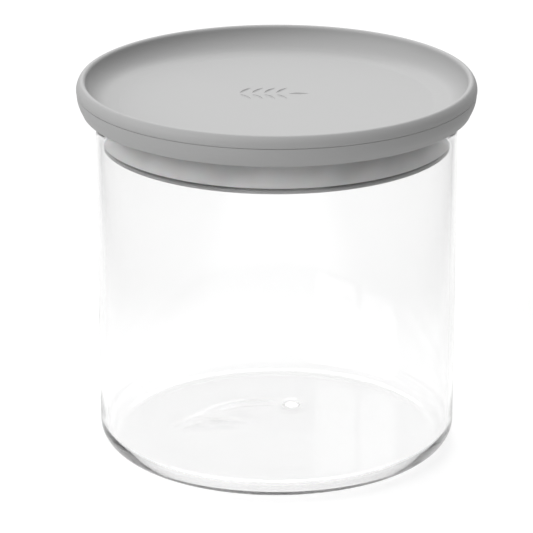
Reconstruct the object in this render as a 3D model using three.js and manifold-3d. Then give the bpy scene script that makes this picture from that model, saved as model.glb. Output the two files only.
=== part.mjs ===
// A round glass storage canister with a push-in lid.
//
// The jar is a thin-walled borosilicate cylinder with a rounded bottom corner, a shallow kick-up in
// the base and a fire-polished rim. The lid is two plastic shells: a dished cover with a rolled rim,
// welded along its edge to a base whose plug hangs into the jar's mouth. A silicone ring sits in the
// groove round the plug and seals against the inside of the glass.
//
// Millimetres, +Z up. The origin is on the canister's axis, on the plane it stands on. -Y is the front.
import * as THREE from "three";
import { mergeVertices } from "three/addons/utils/BufferGeometryUtils.js";
import Module from "manifold-3d";

// ---- driving dimensions ----
const GLASS_RADIUS = 70; // outside of the jar's wall
const WALL = 2.3; // thickness of the glass wall
const GLASS_HEIGHT = 136.2; // from the table to the top of the rim, which stands inside the lid's band
const LID_TOP = 147.8; // crest of the lid's rim, the highest point of the canister
const LID_RADIUS = 77.24; // widest point of the lid
const DISH_DEPTH = 9.1; // from the crest down to the flat floor of the lid's dish
const PLUG_BOTTOM = 122.6; // underside of the plug
const GAP = 0.3; // clearance between pieces that touch or nearly touch
const SEGMENTS = 72; // facets round the axis, a multiple of four so that the box is exact

// ---- jar ----
const BASE_THICKNESS = 3.2;
const CORNER_RADIUS = 9; // outside, where the wall meets the base
const INNER_CORNER = 7;
const KICK_HEIGHT = 0.6; // how far the middle of the base is pushed up
const KICK_RADIUS = 38; // where the kick-up starts to come down
const KICK_INSIDE = 0.6; // share of the kick-up that the inside of the base still has at its edge
const FOOT_INNER = 42; // inner edge of the flat ring that the jar stands on

// ---- lid ----
const SHELL = 1.5; // thickness of both mouldings
const DISH_FLOOR_RADIUS = 59.4; // flat part of the dish's floor
const DISH_WALL_RADIUS = 65; // where the floor's slight slope turns up into the concave wall
const DISH_SLOPE = 0.7; // how far the floor rises between the two
const SEAT = GLASS_HEIGHT + GAP; // face of the lid base that rests on the glass rim
const SEAT_MARGIN = 1.4; // how far the seat runs out past the glass
const SEAT_DRAFT = 0.7; // how far the band's inner face leans out below the seat
const FLANGE_BOTTOM = 135.6; // lower edge of the lid base's outer band
const PARTING = 143.1; // height of the joint line between the cover and the base
const PLUG_RADIUS = 64.4; // outside of the plug's wall, behind the seal
const LIP_RADIUS = 66.9; // the lip under the seal that keeps it on the plug
const LIP_TOP = 124.1;
const LIP_ROUND = 0.5; // rounding of the lip's lower edge
const LIP_CHAMFER = 0.3; // on its upper edge
const PLATE_RADIUS = 57; // middle of the plug's bottom plate, which stands back from its edge
const PLATE_RECESS = 0.8;
const SEAL_BOTTOM = 124.9;
const SEAL_RADIUS = GLASS_RADIUS - WALL - GAP; // widest part of the seal, at its top
const SEAL_TAPER = 0.25; // how much narrower the rest of it is
const SEAL_ROUND = 0.5; // of its corners
const FLARE_START = 2.6; // below the seal's top, where it begins to widen
const FLARE_END = 1.2;

const rad = THREE.MathUtils.degToRad;
const at = (radius, height) => new THREE.Vector2(radius, height);

// Points along an arc about (radius, height), from one angle to another; 0 degrees points outwards, 90 up.
function arc(radius, height, size, from, to, stepDegrees = 15) {
  const steps = Math.max(1, Math.round(Math.abs(to - from) / stepDegrees));
  return Array.from({ length: steps + 1 }, (_, i) => {
    const angle = rad(from + ((to - from) * i) / steps);
    return at(radius + size * Math.cos(angle), height + size * Math.sin(angle));
  });
}

// Spins a profile of (radius, height) points about the axis. The profile runs anticlockwise, seen
// with the radius to the right, and either starts and ends on the axis or closes on itself.
function turned(profile) {
  return new THREE.LatheGeometry(profile, SEGMENTS).rotateX(Math.PI / 2);
}

// ---- the jar ----
function jarProfile() {
  const inner = GLASS_RADIUS - WALL;
  const rimRadius = WALL / 2;
  const rimCentre = GLASS_HEIGHT - rimRadius;
  return [
    at(0, KICK_HEIGHT),
    at(KICK_RADIUS, KICK_HEIGHT),
    at((KICK_RADIUS + FOOT_INNER) / 2, KICK_HEIGHT / 2),
    at(FOOT_INNER, 0),
    ...arc(GLASS_RADIUS - CORNER_RADIUS, CORNER_RADIUS, CORNER_RADIUS, -90, 0),
    ...arc(GLASS_RADIUS - rimRadius, rimCentre, rimRadius, 0, 180, 45),
    ...arc(inner - INNER_CORNER, BASE_THICKNESS + INNER_CORNER, INNER_CORNER, 0, -90),
    at(FOOT_INNER, BASE_THICKNESS),
    at(KICK_RADIUS, BASE_THICKNESS + KICK_HEIGHT * KICK_INSIDE),
    at(0, BASE_THICKNESS + KICK_HEIGHT),
  ];
}

// ---- the lid's cover ----
// Outside, the rim is one arc, the bulge. A smaller arc, the crest, runs on from it over the top,
// and the dish's concave wall runs on from that down to the floor.
const dishFloor = LID_TOP - DISH_DEPTH;
const bulge = { size: 5.4, from: -8, to: 40 }; // in degrees
const bulgeRadius = LID_RADIUS - bulge.size;
const crestSize = 1.35;
const crestHeight = LID_TOP - crestSize;
const crestRadius = bulgeRadius + (bulge.size - crestSize) * Math.cos(rad(bulge.to));
const bulgeHeight = crestHeight - (bulge.size - crestSize) * Math.sin(rad(bulge.to));
const reach = crestRadius - DISH_WALL_RADIUS;
const rise = crestHeight - (dishFloor + DISH_SLOPE);
const dishWallArc = (reach ** 2 + rise ** 2 - crestSize ** 2) / (2 * (rise + crestSize));
const dishWallHeight = dishFloor + DISH_SLOPE + dishWallArc; // centre of the wall's arc
const dishWallTop = THREE.MathUtils.radToDeg(Math.atan2(crestHeight - dishWallHeight, reach));

// The angle at which an arc about the dish wall's centre crosses a height.
function crossing(size, height) {
  return THREE.MathUtils.radToDeg(Math.asin((height - dishWallHeight) / size));
}

function coverProfile() {
  const underside = dishWallArc + SHELL;
  return [
    at(0, dishFloor - SHELL),
    at(DISH_FLOOR_RADIUS, dishFloor - SHELL),
    ...arc(DISH_WALL_RADIUS, dishWallHeight, underside, -90, crossing(underside, PARTING)),
    ...arc(bulgeRadius, bulgeHeight, bulge.size, bulge.from, bulge.to, 12),
    ...arc(crestRadius, crestHeight, crestSize, bulge.to, 90, 25).slice(1),
    ...arc(crestRadius, crestHeight, crestSize, 90, 180 + dishWallTop, 30).slice(1),
    ...arc(DISH_WALL_RADIUS, dishWallHeight, dishWallArc, dishWallTop, -90).slice(1),
    at(DISH_FLOOR_RADIUS, dishFloor),
    at(0, dishFloor),
  ];
}

// ---- the lid's base: an outer band, a plug and its bottom plate ----
const bandArc = { size: 11.5, to: 1.5 }; // outside of the band, curving in towards its lower edge
const BAND_STEP = 0.2; // how far the band starts inside the cover's edge at the joint line

function baseProfile() {
  const joint = PARTING - GAP;
  const bandRadius = LID_RADIUS - BAND_STEP - bandArc.size * Math.cos(rad(bandArc.to));
  const bandHeight = joint - bandArc.size * Math.sin(rad(bandArc.to));
  const bandFrom = THREE.MathUtils.radToDeg(Math.asin((FLANGE_BOTTOM - bandHeight) / bandArc.size));
  const seatEdge = GLASS_RADIUS + SEAT_MARGIN;
  const inside = dishWallArc + SHELL + GAP;
  const plugInside = PLUG_RADIUS - SHELL;
  const plate = PLUG_BOTTOM + PLATE_RECESS;
  return [
    at(0, plate),
    at(PLATE_RADIUS, plate),
    at(PLATE_RADIUS + PLATE_RECESS, PLUG_BOTTOM),
    ...arc(LIP_RADIUS - LIP_ROUND, PLUG_BOTTOM + LIP_ROUND, LIP_ROUND, -90, 0, 30),
    at(LIP_RADIUS, LIP_TOP - LIP_CHAMFER),
    at(LIP_RADIUS - LIP_CHAMFER, LIP_TOP),
    at(PLUG_RADIUS, LIP_TOP),
    at(PLUG_RADIUS, SEAT),
    at(seatEdge, SEAT),
    at(seatEdge + SEAT_DRAFT, FLANGE_BOTTOM),
    ...arc(bandRadius, bandHeight, bandArc.size, bandFrom, bandArc.to, 8),
    ...arc(DISH_WALL_RADIUS, dishWallHeight, inside, crossing(inside, joint), -90),
    at(plugInside, dishFloor - SHELL - GAP),
    at(plugInside, plate + SHELL),
    at(0, plate + SHELL),
  ];
}

// ---- the seal ----
function sealProfile() {
  const inside = PLUG_RADIUS + GAP;
  const top = SEAT - GAP;
  const body = SEAL_RADIUS - SEAL_TAPER;
  return [
    at(inside, SEAL_BOTTOM),
    ...arc(body - SEAL_ROUND, SEAL_BOTTOM + SEAL_ROUND, SEAL_ROUND, -90, 0, 45),
    at(body, top - FLARE_START),
    at(SEAL_RADIUS, top - FLARE_END),
    at(SEAL_RADIUS, top - SEAL_ROUND),
    at(SEAL_RADIUS - SEAL_ROUND, top),
    at(inside, top),
    at(inside, SEAL_BOTTOM),
  ];
}

// ---- the mark sunk in the middle of the lid: a plain sprig of leaves ----
const MARK_CENTRE = { x: -0.8, y: 8.5 }; // it stands a little behind the axis
const MARK_DEPTH = 0.35;
const LEAF_LENGTH = 8;
const LEAF_WIDTH = 2.2; // across its middle
const LEAF_PAIRS = 4;
const LEAF_PITCH = 4.7; // along the stem
const LEAF_LEAN = 58; // degrees between a leaf and the stem
const LEAF_SPREAD = 0.8; // from the stem's line to the foot of a leaf
const CUTTER_DEPTH = 1; // deeper than the mark, so that a cutter stands out above the dish's floor

// A pointed leaf that starts at the origin and lies along +X.
function leafOutline() {
  const leaf = new THREE.Shape();
  leaf.quadraticCurveTo(LEAF_LENGTH / 2, LEAF_WIDTH, LEAF_LENGTH, 0);
  leaf.quadraticCurveTo(LEAF_LENGTH / 2, -LEAF_WIDTH, 0, 0);
  return leaf;
}

// The solids to cut out of the dish's floor, standing through its surface.
function markCutters() {
  const extrusion = { depth: CUTTER_DEPTH, bevelEnabled: false, curveSegments: 4 };
  const leaf = new THREE.ExtrudeGeometry(leafOutline(), extrusion);
  const cutters = [];
  const place = (x, y, angle) => {
    const cutter = leaf.clone().rotateZ(rad(angle));
    cutters.push(cutter.translate(MARK_CENTRE.x + x, MARK_CENTRE.y + y, dishFloor - MARK_DEPTH));
  };
  const start = -(LEAF_PITCH * LEAF_PAIRS + LEAF_LENGTH) / 2;
  for (let i = 0; i < LEAF_PAIRS; i++) {
    const x = start + LEAF_PITCH * i;
    place(x, LEAF_SPREAD, LEAF_LEAN);
    place(x, -LEAF_SPREAD, -LEAF_LEAN);
  }
  place(start + LEAF_PITCH * LEAF_PAIRS, 0, 0);
  return cutters;
}

// ---- booleans ----
const wasm = await Module();
wasm.setup();

function solidFrom(geometry) {
  const bare = new THREE.BufferGeometry().setAttribute("position", geometry.getAttribute("position"));
  bare.setIndex(geometry.getIndex());
  const merged = mergeVertices(bare, 1e-4);
  return new wasm.Manifold(
    new wasm.Mesh({
      numProp: 3,
      vertProperties: merged.attributes.position.array,
      triVerts: new Uint32Array(merged.index.array),
    }),
  );
}

function cut(body, cutters) {
  const made = cutters.reduce((left, cutter) => left.subtract(solidFrom(cutter)), solidFrom(body)).getMesh();
  const geometry = new THREE.BufferGeometry();
  geometry.setAttribute("position", new THREE.BufferAttribute(made.vertProperties, made.numProp));
  geometry.setIndex(new THREE.BufferAttribute(made.triVerts, 1));
  geometry.computeVertexNormals();
  return geometry;
}

// ---- materials ----
const glass = new THREE.MeshStandardMaterial({
  color: 0xf4f7f6,
  roughness: 0.02,
  metalness: 0,
  transparent: true,
  opacity: 0.3,
});
const coverPlastic = new THREE.MeshStandardMaterial({ color: 0xb4b4b3, roughness: 0.55, metalness: 0 });
const basePlastic = new THREE.MeshStandardMaterial({ color: 0xb0b0af, roughness: 0.55, metalness: 0 });
const silicone = new THREE.MeshStandardMaterial({ color: 0xb9bab9, roughness: 0.62, metalness: 0 });

function piece(name, geometry, material) {
  const mesh = new THREE.Mesh(geometry, material);
  mesh.name = name;
  return mesh;
}

// ---- the canister ----
const jar = piece("glass_jar", turned(jarProfile()), glass);

const lid = new THREE.Group();
lid.add(
  piece("lid_cover", cut(turned(coverProfile()), markCutters()), coverPlastic),
  piece("lid_base", turned(baseProfile()), basePlastic),
  piece("seal_ring", turned(sealProfile()), silicone),
);

const canister = new THREE.Group();
canister.add(jar, lid);

export default canister;
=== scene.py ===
# %% [markdown]
# # A glass canister with a push-in lid
#
# The canister is four pieces: a glass jar, two plastic mouldings that make the lid, and a silicone
# ring that seals the lid against the inside of the glass. All four are round, so each one starts as
# half of its outline, spun about the upright axis. What makes them look real comes after that: the
# small unevenness of the glass base, the mark sunk in the lid, and the light.

# %% Load the frame
import math

import bmesh
import bpy
from mathutils import Matrix, Vector, noise


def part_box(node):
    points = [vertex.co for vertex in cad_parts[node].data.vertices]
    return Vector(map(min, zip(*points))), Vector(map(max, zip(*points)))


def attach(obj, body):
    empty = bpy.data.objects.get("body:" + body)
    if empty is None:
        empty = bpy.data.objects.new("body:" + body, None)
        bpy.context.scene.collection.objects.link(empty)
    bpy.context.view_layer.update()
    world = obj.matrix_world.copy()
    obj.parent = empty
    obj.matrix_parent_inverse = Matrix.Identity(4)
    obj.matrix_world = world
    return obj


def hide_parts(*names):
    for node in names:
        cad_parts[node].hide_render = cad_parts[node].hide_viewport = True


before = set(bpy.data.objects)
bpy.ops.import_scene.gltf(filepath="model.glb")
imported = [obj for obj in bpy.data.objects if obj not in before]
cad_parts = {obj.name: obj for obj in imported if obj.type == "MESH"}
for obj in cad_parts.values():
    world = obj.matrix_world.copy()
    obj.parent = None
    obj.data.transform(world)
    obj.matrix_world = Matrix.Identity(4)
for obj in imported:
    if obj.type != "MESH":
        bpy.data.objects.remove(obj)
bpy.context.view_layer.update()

# %% [markdown]
# ## Sizes
#
# Blender works in metres, and a maker thinks in millimetres, so MM turns one into the other. The
# outer sizes come from the frame, which already holds the canister at its real size. The rest are
# the thicknesses and roundings that a moulder or a glass blower would give.

# %% Sizes taken from the frame
MM = 0.001
jar_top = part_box("glass_jar")[1]
cover_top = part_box("lid_cover")[1]
base_low, base_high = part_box("lid_base")
seal_low, seal_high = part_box("seal_ring")

GLASS_RADIUS = jar_top.x / MM
GLASS_HEIGHT = jar_top.z / MM
LID_RADIUS = cover_top.x / MM
LID_TOP = cover_top.z / MM
PLUG_BOTTOM = base_low.z / MM
SEAL_RADIUS = seal_high.x / MM
SEAL_TOP = seal_high.z / MM
SEAL_BOTTOM = seal_low.z / MM
print(f"jar {2 * GLASS_RADIUS:.1f} mm across, lid {2 * LID_RADIUS:.1f} mm across, {LID_TOP:.1f} mm tall")

# %% [markdown]
# ## The camera
#
# A product is shown without distortion by standing well back with a long lens. The camera stands
# 1.29 m from the canister's axis, looks down at it by about 20 degrees, and sees the dish of the
# lid and, through the glass, the base. A lens shift of a fiftieth of the picture's width moves the
# canister right of the middle without turning the camera, which would skew its uprights.

# %% Camera
CAMERA_DISTANCE = 1.2864
CAMERA_HEIGHT = 0.5281
CAMERA_DOWN = math.radians(19.59)
SENSOR = 36.0
LENS = 235.1
SHIFT_ASIDE = -0.0192
SHIFT_UP = 0.0009

camera_data = bpy.data.cameras.new("camera")
camera_data.lens = LENS
camera_data.sensor_width = SENSOR
camera_data.shift_x = SHIFT_ASIDE
camera_data.shift_y = SHIFT_UP
camera_data.clip_end = 20.0
camera = bpy.data.objects.new("camera", camera_data)
camera.location = (0.0, -CAMERA_DISTANCE, CAMERA_HEIGHT)
camera.rotation_euler = (math.pi / 2 - CAMERA_DOWN, 0.0, 0.0)
bpy.context.scene.collection.objects.link(camera)
bpy.context.scene.camera = camera
print("camera looks down by", round(math.degrees(CAMERA_DOWN), 1), "degrees")

# %% [markdown]
# ## From an outline to a round piece
#
# A turned piece could be a Screw modifier on a curve, but the bmesh spin operator gives a plain
# mesh whose vertices can be pushed about afterwards, which the glass base needs. An outline is a
# list of (radius, height) points in millimetres. Its round stretches are arcs, made by one helper.
# Points on the axis would be left as a knot of loose copies by the spin, so doubles are merged, and
# the normals are made to face out once the shape is closed.

# %% Helpers: arc, turned piece, finished object
def arc(radius, height, size, start, end, step=6.0):
    """Points on an arc about (radius, height), in degrees: 0 points outwards and 90 up."""
    count = max(2, round(abs(end - start) / step))
    angles = [math.radians(start + (end - start) * i / count) for i in range(count + 1)]
    return [(radius + size * math.cos(a), height + size * math.sin(a)) for a in angles]


def line(start, end, step):
    """Points from start up to end, which is left out, about a step apart."""
    count = max(1, round(math.dist(start, end) / step))
    return [tuple(a + (b - a) * i / count for a, b in zip(start, end)) for i in range(count)]


def turned(outline, segments=240):
    """A bmesh of an outline of (radius, height) points spun a full turn about the upright axis."""
    bm = bmesh.new()
    ring = [bm.verts.new((r * MM, 0.0, z * MM)) for r, z in outline]
    closed = outline[0][0] > 0
    pairs = zip(ring, ring[1:] + ring[:1]) if closed else zip(ring, ring[1:])
    edges = [bm.edges.new(pair) for pair in pairs]
    bmesh.ops.spin(
        bm, geom=ring + edges, cent=(0, 0, 0), axis=(0, 0, 1), dvec=(0, 0, 0),
        angle=math.tau, steps=segments, use_merge=True, use_duplicate=False,
    )
    bmesh.ops.remove_doubles(bm, verts=bm.verts, dist=1e-6)
    bmesh.ops.recalc_face_normals(bm, faces=bm.faces)
    return bm


def finished(bm, name, sharp=35.0):
    """Turns a bmesh into a smooth-shaded object whose edges stay crisp past an angle in degrees."""
    mesh = bpy.data.meshes.new(name)
    bm.to_mesh(mesh)
    bm.free()
    mesh.shade_smooth()
    mesh.set_sharp_from_angle(angle=math.radians(sharp))
    piece = bpy.data.objects.new(name, mesh)
    bpy.context.scene.collection.objects.link(piece)
    print(f"{name}: {len(mesh.vertices)} vertices, {len(mesh.polygons)} faces")
    return piece


def smooth(low, high, value):
    """0 below low, 1 above high, and an easy curve between them."""
    t = min(1.0, max(0.0, (value - low) / (high - low)))
    return t * t * (3.0 - 2.0 * t)


# %% [markdown]
# ## The jar
#
# The jar is drawn from borosilicate tube: its wall is even, its bottom corner is a soft round where
# the tube was closed, and its rim is melted round by a flame. The outline goes up the outside, over
# the rim and down the inside, so the wall has its real thickness. Glass must be a closed body with
# an inside and an outside, because the light bends at both. The base is cut into fine steps, ready
# for the next cell.

# %% The jar's outline
WALL = 2.3
BASE_THICKNESS = 3.2
OUTER_CORNER = 9.1
INNER_CORNER = 7.2
BASE_STEP = 0.7
WALL_FROM = 14.0
WALL_STEP = 8.0


def jar_outline():
    inner = GLASS_RADIUS - WALL
    rim = WALL / 2
    foot = GLASS_RADIUS - OUTER_CORNER
    floor = inner - INNER_CORNER
    return [
        *line((0.0, 0.0), (foot, 0.0), BASE_STEP),
        *arc(foot, OUTER_CORNER, OUTER_CORNER, -90, 0, 5),
        *line((GLASS_RADIUS, WALL_FROM), (GLASS_RADIUS, GLASS_HEIGHT - rim), WALL_STEP),
        *arc(GLASS_RADIUS - rim, GLASS_HEIGHT - rim, rim, 0, 180, 15),
        *line((inner, GLASS_HEIGHT - WALL_STEP), (inner, WALL_FROM), WALL_STEP),
        *arc(floor, BASE_THICKNESS + INNER_CORNER, INNER_CORNER, 0, -90, 5),
        *line((floor - BASE_STEP, BASE_THICKNESS), (0.0, BASE_THICKNESS), BASE_STEP),
        (0.0, BASE_THICKNESS),
    ]


jar_bm = turned(jar_outline())
print("jar outline spun:", len(jar_bm.faces), "faces")

# %% [markdown]
# ## The jar's base
#
# The underside is pushed up a little, so that the jar stands on a ring and doesn't rock. It has to
# stay gentle: light comes down through the base at a slant, close to the angle at which glass turns
# it all back, and a slope of three degrees would hide the table. The marks of the making are on the
# inside, where the closed end of the tube never flows out quite flat. A curved step grows towards
# its left end, and a fine thread beside it ends in a small lump. Where they fall away from the eye
# they reflect the room in place of the table, which draws them as faint strokes, and the lump as a
# small bright spot. These are small moves of the vertices, so a formula in the distance and the angle
# from a point makes them.

# %% Push the base up and add the marks of its making
KICK_HEIGHT = 0.6
KICK_EDGE = 44.0
STROKE_CENTRE = Vector((-5.0, 0.0))
STROKE_RADIUS = 31.0
STEP_HEIGHT = 0.45
STEP_GROWTH = 0.25
STEP_WIDTH = 3.4
STEP_END_WIDTH = 0.8
STEP_DRIFT = 7.0
STEP_START = (88.0, 125.0)
STEP_END = (158.0, 186.0)
STEP_GROWS = (115.0, 165.0)
STEP_DRIFTS = (150.0, 190.0)
STEP_FOOT = 4.0
THREAD_START = (74.0, 90.0)
THREAD_END = (118.0, 150.0)
THREAD_RADIUS = 27.5
THREAD_HEIGHT = 0.14
THREAD_WIDTH = 0.8
LUMP = Vector((6.0, 24.5))
LUMP_HEIGHT = 1.0
LUMP_WIDE = 3.6
LUMP_DEEP = 4.2
RIPPLE_HEIGHT = 0.05
RIPPLE_LENGTH = 9.0
RIPPLE_EDGE = (45.0, 58.0)


def underside_rise(x, y):
    """How far the underside stands above the table at a point, in millimetres."""
    return KICK_HEIGHT * (1.0 - smooth(0.0, KICK_EDGE, math.hypot(x, y)))


def floor_rise(x, y):
    """How far the inside of the base stands above its edge, in millimetres."""
    r = math.hypot(x, y)
    reach = math.dist((x, y), STROKE_CENTRE)
    angle = math.degrees(math.atan2(y - STROKE_CENTRE.y, x - STROKE_CENTRE.x)) % 360.0
    rise = KICK_HEIGHT * (1.0 - smooth(0.0, KICK_EDGE + 6.0, r))
    ripple = noise.noise(Vector((x, y, 3.0)) / RIPPLE_LENGTH)
    rise += ripple * RIPPLE_HEIGHT * (1.0 - smooth(*RIPPLE_EDGE, r))
    stroke = smooth(*STEP_START, angle) * (1.0 - smooth(*STEP_END, angle))
    edge = STROKE_RADIUS + STEP_DRIFT * smooth(*STEP_DRIFTS, angle)
    width = STEP_END_WIDTH + STEP_WIDTH * stroke
    height = STEP_HEIGHT + STEP_GROWTH * smooth(*STEP_GROWS, angle)
    plateau = smooth(STEP_FOOT, edge - width, reach)
    rise += height * stroke * plateau * (1.0 - smooth(edge - width, edge, reach))
    thread = smooth(*THREAD_START, angle) * (1.0 - smooth(*THREAD_END, angle))
    rise += THREAD_HEIGHT * thread * math.exp(-(((reach - THREAD_RADIUS) / THREAD_WIDTH) ** 2))
    from_lump = ((x - LUMP.x) / LUMP_WIDE) ** 2 + ((y - LUMP.y) / LUMP_DEEP) ** 2
    return rise + LUMP_HEIGHT * math.exp(-from_lump)


for vertex in jar_bm.verts:
    x, y, z = (value / MM for value in vertex.co)
    if math.hypot(x, y) < GLASS_RADIUS - OUTER_CORNER and z < BASE_THICKNESS + 0.01:
        rise = underside_rise(x, y) if z < BASE_THICKNESS / 2 else floor_rise(x, y)
        vertex.co.z += rise * MM
jar_bm.normal_update()
jar = finished(jar_bm, "jar_glass")

# %% [markdown]
# ## The lid's cover
#
# The cover is a shallow dish with a fat rolled rim. Three arcs run on from one another: the bulge
# outside, a small crest over the top, and the long hollow wall of the dish. Two arcs that touch from
# opposite sides share a tangent when the distance between their centres is the sum of their sizes,
# which gives the wall's size below. Its lower edge is rounded under, and the narrow gap between that
# rounding and the lid's base is the fine joint line.

# %% The cover's outline
SHELL = 1.5
PARTING = 143.1
DISH_FLOOR = LID_TOP - 9.1
DISH_FLOOR_RADIUS = 59.4
DISH_WALL_RADIUS = 65.0
DISH_SLOPE = 0.7
BULGE = 5.4
BULGE_TOP = 40.0
CREST = 1.35
COVER_LIP = 0.5
FLOOR_BLEND = 12.0
FLOOR_BLEND_OUT = 0.6

bulge_radius = LID_RADIUS - BULGE
crest_height = LID_TOP - CREST
crest_radius = bulge_radius + (BULGE - CREST) * math.cos(math.radians(BULGE_TOP))
bulge_height = crest_height - (BULGE - CREST) * math.sin(math.radians(BULGE_TOP))
reach = crest_radius - DISH_WALL_RADIUS
rise = crest_height - DISH_FLOOR - DISH_SLOPE
DISH_WALL = (reach**2 + rise**2 - CREST**2) / (2 * (rise + CREST))
wall_height = DISH_FLOOR + DISH_SLOPE + DISH_WALL
wall_top = math.degrees(math.atan2(crest_height - wall_height, reach))


def crossing(size, height):
    """The angle at which an arc about the dish wall's centre crosses a height."""
    return math.degrees(math.asin((height - wall_height) / size))


def cover_outline():
    under = DISH_WALL + SHELL
    edge = arc(bulge_radius, bulge_height, BULGE, -4, BULGE_TOP, 4)
    low_r = edge[0][0]
    return [
        (0.0, DISH_FLOOR - SHELL),
        (DISH_FLOOR_RADIUS, DISH_FLOOR - SHELL),
        *arc(DISH_WALL_RADIUS, wall_height, under, -90, crossing(under, PARTING), 5),
        *arc(low_r - COVER_LIP, PARTING + COVER_LIP, COVER_LIP, -90, -4, 12),
        *edge[1:],
        *arc(crest_radius, crest_height, CREST, BULGE_TOP, 180 + wall_top, 10)[1:],
        *arc(DISH_WALL_RADIUS, wall_height, DISH_WALL, wall_top, -90, 3)[1:],
        *arc(DISH_FLOOR_RADIUS + FLOOR_BLEND_OUT, DISH_FLOOR + FLOOR_BLEND, FLOOR_BLEND, -86, -90, 1),
        (0.0, DISH_FLOOR),
    ]


cover = finished(turned(cover_outline()), "lid_cover_shell")

# %% [markdown]
# ## The mark in the lid
#
# A sprig of leaves is sunk half a millimetre into the dish. It could be a bump in the
# material, but a bump can't catch light on its edges from every side, so it is cut. Each cutter is
# an arc spun about its own chord, which makes a pointed seed: where it dips through the floor it
# leaves the outline of a leaf, deepest in the middle. A Boolean modifier cuts them all at once.

# %% Cut the sprig
LEAF_LENGTH = 8.0
LEAF_WIDTH = 2.2
LEAF_DEPTH = 0.5
LEAF_PITCH = 4.7
LEAF_PAIRS = 4
LEAF_LEAN = 58.0
SPRIG_CENTRE = Vector((-0.8, 8.5))


def add_leaf(bm, x, y, angle):
    """A pointed seed from (x, y) on, lying along the angle, with its middle on the dish's floor."""
    half = LEAF_LENGTH / 2
    size = (half**2 + (LEAF_WIDTH / 2) ** 2) / LEAF_WIDTH
    span = math.degrees(math.asin(half / size))
    side = arc(0.0, LEAF_WIDTH / 2 - size, size, 90 + span, 90 - span, 2 * span / 12)
    verts = [bm.verts.new((px * MM, 0.0, max(0.0, pz) * MM)) for px, pz in side]
    edges = [bm.edges.new(pair) for pair in zip(verts, verts[1:])]
    bmesh.ops.spin(
        bm, geom=verts + edges, cent=(0, 0, 0), axis=(1, 0, 0), dvec=(0, 0, 0),
        angle=math.tau, steps=24, use_merge=True, use_duplicate=False,
    )
    made = [v for v in bm.verts if not v.tag]
    flatten = Matrix.Diagonal((1.0, 1.0, LEAF_DEPTH / (LEAF_WIDTH / 2), 1.0))
    place = (
        Matrix.Translation(Vector((x, y, DISH_FLOOR)) * MM)
        @ Matrix.Rotation(math.radians(angle), 4, "Z")
        @ Matrix.Translation((half * MM, 0.0, 0.0))
        @ flatten
    )
    bmesh.ops.transform(bm, matrix=place, verts=made)
    for v in made:
        v.tag = True


cutter_bm = bmesh.new()
stem_start = SPRIG_CENTRE.x - (LEAF_PITCH * LEAF_PAIRS + LEAF_LENGTH) / 2
for i in range(LEAF_PAIRS):
    foot_x = stem_start + LEAF_PITCH * i
    add_leaf(cutter_bm, foot_x, SPRIG_CENTRE.y + 0.8, LEAF_LEAN)
    add_leaf(cutter_bm, foot_x, SPRIG_CENTRE.y - 0.8, -LEAF_LEAN)
add_leaf(cutter_bm, stem_start + LEAF_PITCH * LEAF_PAIRS, SPRIG_CENTRE.y, 0.0)
bmesh.ops.remove_doubles(cutter_bm, verts=cutter_bm.verts, dist=1e-6)
bmesh.ops.recalc_face_normals(cutter_bm, faces=cutter_bm.faces)
cutter = finished(cutter_bm, "sprig_cutter")

cut = cover.modifiers.new("sprig", "BOOLEAN")
cut.operation = "DIFFERENCE"
cut.solver = "EXACT"
cut.object = cutter
evaluated = cover.evaluated_get(bpy.context.evaluated_depsgraph_get())
cut_mesh = bpy.data.meshes.new_from_object(evaluated)
cover.modifiers.clear()
cover.data = cut_mesh
cover.data.shade_smooth()
cover.data.set_sharp_from_angle(angle=math.radians(12.0))
bpy.data.objects.remove(cutter)
print("cover with its sprig:", len(cover.data.polygons), "faces")

# %% [markdown]
# ## The lid's base
#
# The second moulding is welded under the cover. Its outer band carries the cover's curve on down
# and in, over the glass. Inside the jar it is a plug with a bottom plate, and a lip round the
# plug's foot keeps the seal from slipping off. The outline is one closed body again, with small
# roundings wherever a mould would have them, because a rounded edge is what catches the light.

# %% The base's outline
GAP = 0.3
JOINT_LINE = 0.04
BAND_SIZE = 11.5
BAND_TO = 1.5
BAND_ROUND = 0.8
FLANGE_BOTTOM = 135.6
SEAT = GLASS_HEIGHT + GAP
PLUG_RADIUS = 64.4
LIP_RADIUS = 66.9
LIP_TOP = 124.1
LIP_ROUND = 0.8
PLATE_RADIUS = 57.0
PLATE_RECESS = 0.8
PLATE_ROUND = 0.4
LIP_TOP_ROUND = 0.3
SEAT_MARGIN = 1.4
SEAT_DRAFT = 0.7


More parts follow.
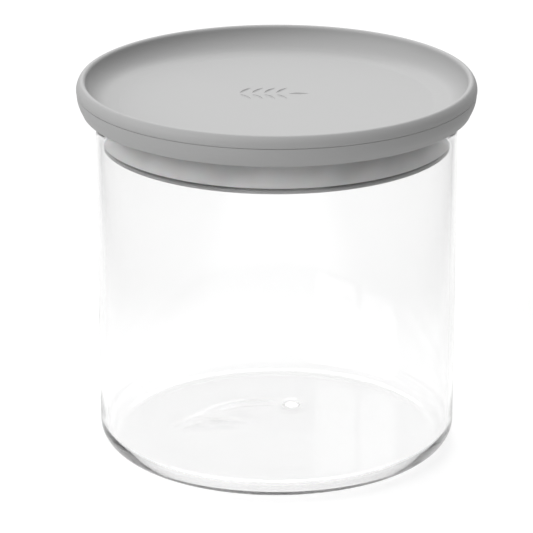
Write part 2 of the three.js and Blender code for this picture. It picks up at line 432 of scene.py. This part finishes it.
def base_outline():
    band_top = PARTING - JOINT_LINE
    band_radius = base_high.x / MM - BAND_SIZE * math.cos(math.radians(BAND_TO))
    band_height = band_top - BAND_SIZE * math.sin(math.radians(BAND_TO))
    band_from = math.degrees(math.asin((FLANGE_BOTTOM + 0.9 * BAND_ROUND - band_height) / BAND_SIZE))
    band = arc(band_radius, band_height, BAND_SIZE, band_from, BAND_TO, 3)
    inside = DISH_WALL + SHELL + GAP
    plug_inside = PLUG_RADIUS - SHELL
    plate = PLUG_BOTTOM + PLATE_RECESS
    seat_edge = GLASS_RADIUS + SEAT_MARGIN
    return [
        (0.0, plate),
        (PLATE_RADIUS, plate),
        *arc(PLATE_RADIUS + PLATE_RECESS, PLUG_BOTTOM + PLATE_ROUND, PLATE_ROUND, -150, -90, 20),
        *arc(LIP_RADIUS - LIP_ROUND, PLUG_BOTTOM + LIP_ROUND, LIP_ROUND, -90, 0, 15),
        *arc(LIP_RADIUS - LIP_TOP_ROUND, LIP_TOP - LIP_TOP_ROUND, LIP_TOP_ROUND, 0, 90, 22),
        (PLUG_RADIUS, LIP_TOP),
        (PLUG_RADIUS, SEAT),
        (seat_edge, SEAT),
        (seat_edge + SEAT_DRAFT, FLANGE_BOTTOM),
        *arc(band[0][0] - 0.85 * BAND_ROUND, FLANGE_BOTTOM + BAND_ROUND, BAND_ROUND, -90, -36, 9),
        *band[1:],
        *arc(DISH_WALL_RADIUS, wall_height, inside, crossing(inside, band_top), -90, 5),
        (plug_inside, DISH_FLOOR - SHELL - GAP),
        (plug_inside, plate + SHELL),
        (0.0, plate + SHELL),
    ]


lid_base = finished(turned(base_outline()), "lid_base_shell")

# %% [markdown]
# ## The seal
#
# The silicone ring is a plain band that widens a little towards its top, where it presses on the
# glass. A moulded ring has a tiny nub where the silicone was let into the mould, at its lower edge.

# %% The seal and its nub
SEAL_TAPER = 0.25
SEAL_ROUND = 0.5
TAPER_FROM = 2.6
TAPER_TO = 1.2
NUB_ANGLE = -58.0
NUB_SIZE = 0.45


def seal_outline():
    inside = PLUG_RADIUS + GAP
    body = SEAL_RADIUS - SEAL_TAPER
    return [
        (inside, SEAL_BOTTOM),
        *arc(body - SEAL_ROUND, SEAL_BOTTOM + SEAL_ROUND, SEAL_ROUND, -90, 0, 15),
        *line((body, SEAL_BOTTOM + 1.5), (body, SEAL_TOP - TAPER_FROM), 1.5),
        (body, SEAL_TOP - TAPER_FROM),
        (SEAL_RADIUS, SEAL_TOP - TAPER_TO),
        *arc(SEAL_RADIUS - SEAL_ROUND, SEAL_TOP - SEAL_ROUND, SEAL_ROUND, 0, 90, 20),
        (inside, SEAL_TOP),
    ]


seal_bm = turned(seal_outline())
nub_at = Matrix.Rotation(math.radians(NUB_ANGLE), 4, "Z") @ Matrix.Translation(
    Vector((SEAL_RADIUS - SEAL_TAPER - 0.1, 0.0, SEAL_BOTTOM + 0.1)) * MM
)
bmesh.ops.create_uvsphere(seal_bm, u_segments=16, v_segments=10, radius=NUB_SIZE / 2 * MM, matrix=nub_at)
seal = finished(seal_bm, "seal_band")

# %% [markdown]
# ## Materials: two helpers
#
# Colours are written as sRGB hex values, as a paint chart gives them, and Blender's shaders want
# linear light, so one function converts. Another adds a node, sets its values and links its inputs.

# %% Helpers: colour and node
def linear(code):
    """An sRGB hex colour as linear red, green, blue and alpha."""
    parts = [int(code[i : i + 2], 16) / 255 for i in (0, 2, 4)]
    return (*[c / 12.92 if c <= 0.04045 else ((c + 0.055) / 1.055) ** 2.4 for c in parts], 1.0)


def add(material, kind, values=None, links=None):
    """Adds a node. values sets inputs, by name or number, or properties; links joins inputs to outputs."""
    tree = material.node_tree
    node = tree.nodes.new(kind)
    for key, value in (values or {}).items():
        if isinstance(key, int) or key in node.inputs:
            node.inputs[key].default_value = value
        else:
            setattr(node, key, value)
    for key, output in (links or {}).items():
        tree.links.new(output, node.inputs[key])
    return node


def new_material(name, values):
    """A material with a Principled shader whose own sockets hold the values. Returns both."""
    material = bpy.data.materials.new(name)
    material.use_nodes = True
    material.node_tree.nodes.clear()
    shader = add(material, "ShaderNodeBsdfPrincipled", values)
    add(material, "ShaderNodeOutputMaterial", links={"Surface": shader.outputs["BSDF"]})
    return material, shader


# %% [markdown]
# ## Clear borosilicate glass
#
# Borosilicate bends light a little less than window glass, with an index of 1.47, and is free of
# its green tint. Drawn glass is smooth but never quite flat: broad, shallow waves run over it, a
# few centimetres long, and they make the reflections swim a little. A very weak bump with that
# spacing does it. An absorption of one percent in a millimetre, which is more than real glass has,
# tells most where the eye looks along the wall. The eye gets hard, clean edges, bright middles and
# faint grey sides.
#
# A wall this thin pipes light along inside it, turning it dozens of times before letting it out.
# Blender gives up after a dozen turns and leaves the bottom corner black, so it is allowed more.

# %% Glass
WAVE_MM = 22.0
GLASS_TONE = "bcbcbc"
GLASS_DENSITY = 20.0

glass, glass_shader = new_material(
    "clear borosilicate glass, fire polished",
    {
        "Base Color": linear("fefefe"),
        "Roughness": 0.0,
        "IOR": 1.47,
        "Transmission Weight": 1.0,
    },
)
coords = add(glass, "ShaderNodeTexCoord")
waves = add(
    glass, "ShaderNodeTexNoise", {"Scale": 1 / (WAVE_MM * MM), "Detail": 1.0, "Roughness": 0.4},
    {"Vector": coords.outputs["Object"]},
)
wavy = add(
    glass, "ShaderNodeBump", {"Strength": 0.2, "Distance": 0.0002}, {"Height": waves.outputs["Fac"]},
)
glass.node_tree.links.new(wavy.outputs["Normal"], glass_shader.inputs["Normal"])
depth = add(glass, "ShaderNodeVolumeAbsorption", {"Color": linear(GLASS_TONE), "Density": GLASS_DENSITY})
glass_end = next(node for node in glass.node_tree.nodes if node.type == "OUTPUT_MATERIAL")
glass.node_tree.links.new(depth.outputs["Volume"], glass_end.inputs["Volume"])
jar.data.materials.append(glass)

LIGHT_TURNS = 64
paths = bpy.context.scene.cycles
paths.max_bounces = paths.transmission_bounces = paths.glossy_bounces = LIGHT_TURNS
print("glass waves:", WAVE_MM, "mm apart")

# %% [markdown]
# ## Matte polypropylene
#
# The lid is injection moulded in grey polypropylene. The mould was blasted, which leaves a fine
# matte grain of about a tenth of a millimetre. That is too fine to see from here, so it is drawn at
# half a millimetre. Polypropylene also cools unevenly, which shows as soft clouds in its gloss and,
# very faintly, in its tone. The lip at the very bottom is paler than the band, most at its lower
# edge. Why it is paler can't be seen. That is painted light from the table beneath: a tone that gets
# paler with depth stands in.

# %% Lid plastic
GRAIN_MM = 0.5
CLOUD_MM = 35.0
# Painted light: the lip's paler tone stands in for the table's light from beneath.
LIP_PAINTED_LIGHT_TONE = "bcbcbc"


def moulded_plastic(name, light, dark):
    plastic, shader = new_material(name, {"IOR": 1.49, "Specular IOR Level": 0.45})
    place = add(plastic, "ShaderNodeTexCoord").outputs["Object"]
    clouds = add(
        plastic, "ShaderNodeTexNoise", {"Scale": 1 / (CLOUD_MM * MM), "Detail": 3.0}, {"Vector": place},
    )
    grain = add(
        plastic, "ShaderNodeTexNoise", {"Scale": 1 / (GRAIN_MM * MM), "Detail": 2.0}, {"Vector": place},
    )
    tone = add(
        plastic, "ShaderNodeMix", {"data_type": "RGBA", 6: linear(dark), 7: linear(light)},
        {0: clouds.outputs["Fac"]},
    )
    height = add(plastic, "ShaderNodeSeparateXYZ", links={"Vector": place}).outputs["Z"]
    # Painted light on the lip: 0 at the lip's top, rising to 1 at the plug's foot.
    lip_light_mask = add(
        plastic, "ShaderNodeMapRange",
        {"From Min": LIP_TOP * MM, "From Max": PLUG_BOTTOM * MM}, {"Value": height},
    )
    # Mixes the painted light of the lip over the plastic's own cloudy tone.
    lip_lit_tone = add(
        plastic, "ShaderNodeMix", {"data_type": "RGBA", 7: linear(LIP_PAINTED_LIGHT_TONE)},
        {0: lip_light_mask.outputs["Result"], 6: tone.outputs[2]},
    )
    gloss = add(
        plastic, "ShaderNodeMapRange", {"To Min": 0.50, "To Max": 0.62}, {"Value": clouds.outputs["Fac"]},
    )
    bump = add(
        plastic, "ShaderNodeBump", {"Strength": 0.12, "Distance": 0.00004}, {"Height": grain.outputs["Fac"]},
    )
    links = plastic.node_tree.links
    links.new(lip_lit_tone.outputs[2], shader.inputs["Base Color"])
    links.new(gloss.outputs["Result"], shader.inputs["Roughness"])
    links.new(bump.outputs["Normal"], shader.inputs["Normal"])
    return plastic


cover.data.materials.clear()
cover.data.materials.append(moulded_plastic("moulded polypropylene, cover", "979797", "939393"))
lid_base.data.materials.append(moulded_plastic("moulded polypropylene, base", "979797", "949494"))
print("plastic grain:", GRAIN_MM, "mm")

# %% [markdown]
# ## Silicone
#
# Silicone rubber is matte from a polished mould, and lets a little light in under its skin, which
# softens its shading. Its tone here is painted shade and painted light: darker towards the top, where
# the lid's flange shades it, and paler towards the bottom, where the bright table lights it, with a
# ragged, patchy edge between. The height in the piece's own coordinates, broken up by a noise, mixes
# the two tones.

# %% Seal silicone
SHADE_EDGE_MM = 14.0
SILICONE_GRAIN_MM = 0.4
# Painted shade: the ring darkens from here up to its top, under the lid's flange.
FLANGE_SHADE_FROM = SEAL_TOP - 8.5
FLANGE_SHADE_TO = SEAL_TOP + 1.5
FLANGE_SHADE_RAGGED = 5.0

silicone, silicone_shader = new_material(
    "moulded silicone rubber",
    {"Roughness": 0.55, "IOR": 1.41, "Subsurface Weight": 0.15, "Subsurface Scale": 0.001},
)
silicone_place = add(silicone, "ShaderNodeTexCoord").outputs["Object"]
silicone_height = add(silicone, "ShaderNodeSeparateXYZ", links={"Vector": silicone_place}).outputs["Z"]
shade_edge_noise = add(
    silicone, "ShaderNodeTexNoise", {"Scale": 1 / (SHADE_EDGE_MM * MM), "Detail": 1.0},
    {"Vector": silicone_place},
)
ragged = add(
    silicone, "ShaderNodeMath", {"operation": "MULTIPLY_ADD", 1: FLANGE_SHADE_RAGGED * MM},
    {0: shade_edge_noise.outputs["Fac"], 2: silicone_height},
)
# Painted shade and light: 0 low on the ring, where the table's light is painted, 1 at its top, where the
# flange's shade is painted.
flange_shade_mask = add(
    silicone, "ShaderNodeMapRange",
    {
        "interpolation_type": "SMOOTHSTEP",
        "From Min": FLANGE_SHADE_FROM * MM,
        "From Max": FLANGE_SHADE_TO * MM,
    },
    {"Value": ragged.outputs[0]},
)
# Pale tone for the painted light from the table, darker tone for the painted shade under the flange.
silicone_shade_and_light = add(
    silicone, "ShaderNodeMix", {"data_type": "RGBA", 6: linear("e6e6e6"), 7: linear("a8a8a8")},
    {0: flange_shade_mask.outputs["Result"]},
)
silicone_grain = add(
    silicone, "ShaderNodeTexNoise", {"Scale": 1 / (SILICONE_GRAIN_MM * MM), "Detail": 2.0},
    {"Vector": silicone_place},
)
silicone_bump = add(
    silicone, "ShaderNodeBump", {"Strength": 0.1, "Distance": 0.00003},
    {"Height": silicone_grain.outputs["Fac"]},
)
silicone.node_tree.links.new(silicone_shade_and_light.outputs[2], silicone_shader.inputs["Base Color"])
silicone.node_tree.links.new(silicone_bump.outputs["Normal"], silicone_shader.inputs["Normal"])
seal.data.materials.append(silicone)
print("materials:", len(bpy.data.materials))

# %% [markdown]
# ## The lit table
#
# Clear glass is shown by what is behind it. Against a plain white table lit from beneath it is
# bright, and its sides are drawn by what they reflect, so the table is less bright to the left and
# right than it is behind. It glows most in front, where it fills in the shadow under the lid's band,
# and more under the jar and close around it, where the jar takes away part of the light.

# %% Floor
FLOOR_SIZE = 6.0
STRIP_HALF = 0.15
STRIP_EDGE = 0.28
FRONT = -0.30
FRONT_EDGE = -0.14
JAR_FOOT = (GLASS_RADIUS - 7.0) * MM
CONTACT = (GLASS_RADIUS + 4.0) * MM
CONTACT_EDGE = 0.19
GLOW_EDGE = 0.7
GLOW_END = 1.15
GLOW_FRONT = 0.85
GLOW_STRIP = 0.45
GLOW_SIDES = 0.11
GLOW_CONTACT = 0.20
GLOW_UNDER_JAR = 0.42

floor_bm = bmesh.new()
bmesh.ops.create_grid(floor_bm, x_segments=1, y_segments=1, size=FLOOR_SIZE / 2)
bmesh.ops.translate(floor_bm, verts=floor_bm.verts, vec=(0.0, 0.0, -0.05 * MM))
floor = finished(floor_bm, "floor")

table, table_shader = new_material(
    "white acrylic table",
    {"Base Color": linear("a6a6a6"), "Roughness": 0.9, "Specular IOR Level": 0.0},
)
table_place = add(table, "ShaderNodeTexCoord").outputs["Object"]
distance = add(
    table, "ShaderNodeVectorMath", {"operation": "LENGTH"}, {0: table_place},
).outputs["Value"]
split = add(table, "ShaderNodeSeparateXYZ", links={"Vector": table_place})
aside = add(table, "ShaderNodeMath", {"operation": "ABSOLUTE"}, {0: split.outputs["X"]})
EASED = {"interpolation_type": "SMOOTHSTEP"}
along = add(
    table, "ShaderNodeMapRange",
    {**EASED, "From Min": FRONT, "From Max": FRONT_EDGE, "To Min": GLOW_FRONT, "To Max": GLOW_STRIP},
    {"Value": split.outputs["Y"]},
)
across = add(
    table, "ShaderNodeMapRange",
    {**EASED, "From Min": STRIP_HALF, "From Max": STRIP_EDGE, "To Max": GLOW_SIDES},
    {"Value": aside.outputs[0], "To Min": along.outputs["Result"]},
)
around = add(
    table, "ShaderNodeMapRange",
    {**EASED, "From Min": GLOW_EDGE, "From Max": GLOW_END, "To Max": 0.0},
    {"Value": distance, "To Min": across.outputs["Result"]},
)
skirt = add(
    table, "ShaderNodeMapRange",
    {**EASED, "From Min": CONTACT, "From Max": CONTACT_EDGE, "To Min": GLOW_CONTACT, "To Max": 0.0},
    {"Value": distance},
)
under_jar = add(
    table, "ShaderNodeMapRange",
    {**EASED, "From Min": JAR_FOOT, "From Max": GLASS_RADIUS * MM, "To Min": GLOW_UNDER_JAR},
    {"Value": distance, "To Max": skirt.outputs["Result"]},
)
glow = add(
    table, "ShaderNodeMath", {"operation": "ADD"},
    {0: around.outputs["Result"], 1: under_jar.outputs["Result"]},
)
table_shader.inputs["Emission Color"].default_value = (1.0, 1.0, 1.0, 1.0)
table.node_tree.links.new(glow.outputs[0], table_shader.inputs["Emission Strength"])
floor.data.materials.append(table)
print("table glows over", 2 * STRIP_EDGE, "m")

# %% [markdown]
# ## Lights
#
# The room is a bright, cloudy studio. Most of its light comes down from the ceiling, and some comes
# from the wall behind and from the left. Each of these is a soft lobe of the world: its strength is
# the square of how directly a direction faces it. Three soft boxes shape the lid. Two stand at the
# left and the front left, and leave the right of the rim a little darker, which is what shows that
# the rim is round. The third lights the dish from behind.

# %% World and soft boxes
ROOM_LIGHT = (
    ((0.0, 0.0, 1.0), 2.0),
    ((0.0, 1.0, 0.0), 0.9),
    ((-1.0, 0.0, 0.0), 0.75),
)
BOX_SIZE = 1.0

world = bpy.data.worlds.new("studio")
world.use_nodes = True
bpy.context.scene.world = world
room = world.node_tree.nodes["Background"]
room.inputs["Color"].default_value = (1.0, 1.0, 1.0, 1.0)
looking = add(world, "ShaderNodeTexCoord").outputs["Generated"]
brightness = {}
for direction, strength in ROOM_LIGHT:
    facing = add(
        world, "ShaderNodeVectorMath", {"operation": "DOT_PRODUCT", 1: direction}, {0: looking},
    )
    lit = add(world, "ShaderNodeMath", {"operation": "MAXIMUM", 1: 0.0}, {0: facing.outputs["Value"]})
    lobe = add(world, "ShaderNodeMath", {"operation": "POWER", 1: 2.0}, {0: lit.outputs[0]})
    total = add(
        world, "ShaderNodeMath", {"operation": "MULTIPLY_ADD", 1: strength, 2: 0.0},
        {0: lobe.outputs[0], **brightness},
    )
    brightness = {2: total.outputs[0]}
world.node_tree.links.new(total.outputs[0], room.inputs["Strength"])


def soft_box(name, location, power):
    """A square area light that faces the lid."""
    light = bpy.data.lights.new(name, "AREA")
    light.shape = "SQUARE"
    light.size = BOX_SIZE
    light.energy = power
    lamp = bpy.data.objects.new(name, light)
    lamp.location = location
    aim = Vector((0.0, 0.0, LID_TOP * MM)) - Vector(location)
    lamp.rotation_euler = aim.to_track_quat("-Z", "Y").to_euler()
    bpy.context.scene.collection.objects.link(lamp)


soft_box("soft_box_left", (-1.8, -0.4, 0.8), 8.5)
soft_box("soft_box_front_left", (-1.2, -1.3, 1.0), 9.0)
soft_box("soft_box_back", (0.0, 1.6, 1.6), 14.5)
bpy.context.scene.view_settings.view_transform = "Standard"

# %% [markdown]
# ## What moves with what
#
# The jar stays, the seal lifts with the lid, and the two mouldings of the lid lift and turn
# together. Each piece stands for the plainer solid of the frame that it replaces.

# %% Ride and replace
for piece, body, node, slot in (
    (jar, "jar", "glass_jar", "clear_glass"),
    (cover, "lid", "lid_cover", "cover_plastic"),
    (lid_base, "lid", "lid_base", "base_plastic"),
    (seal, "seal", "seal_ring", "silicone"),
):
    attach(piece, body)
    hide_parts(node)
    print(piece.name, "rides on", body)
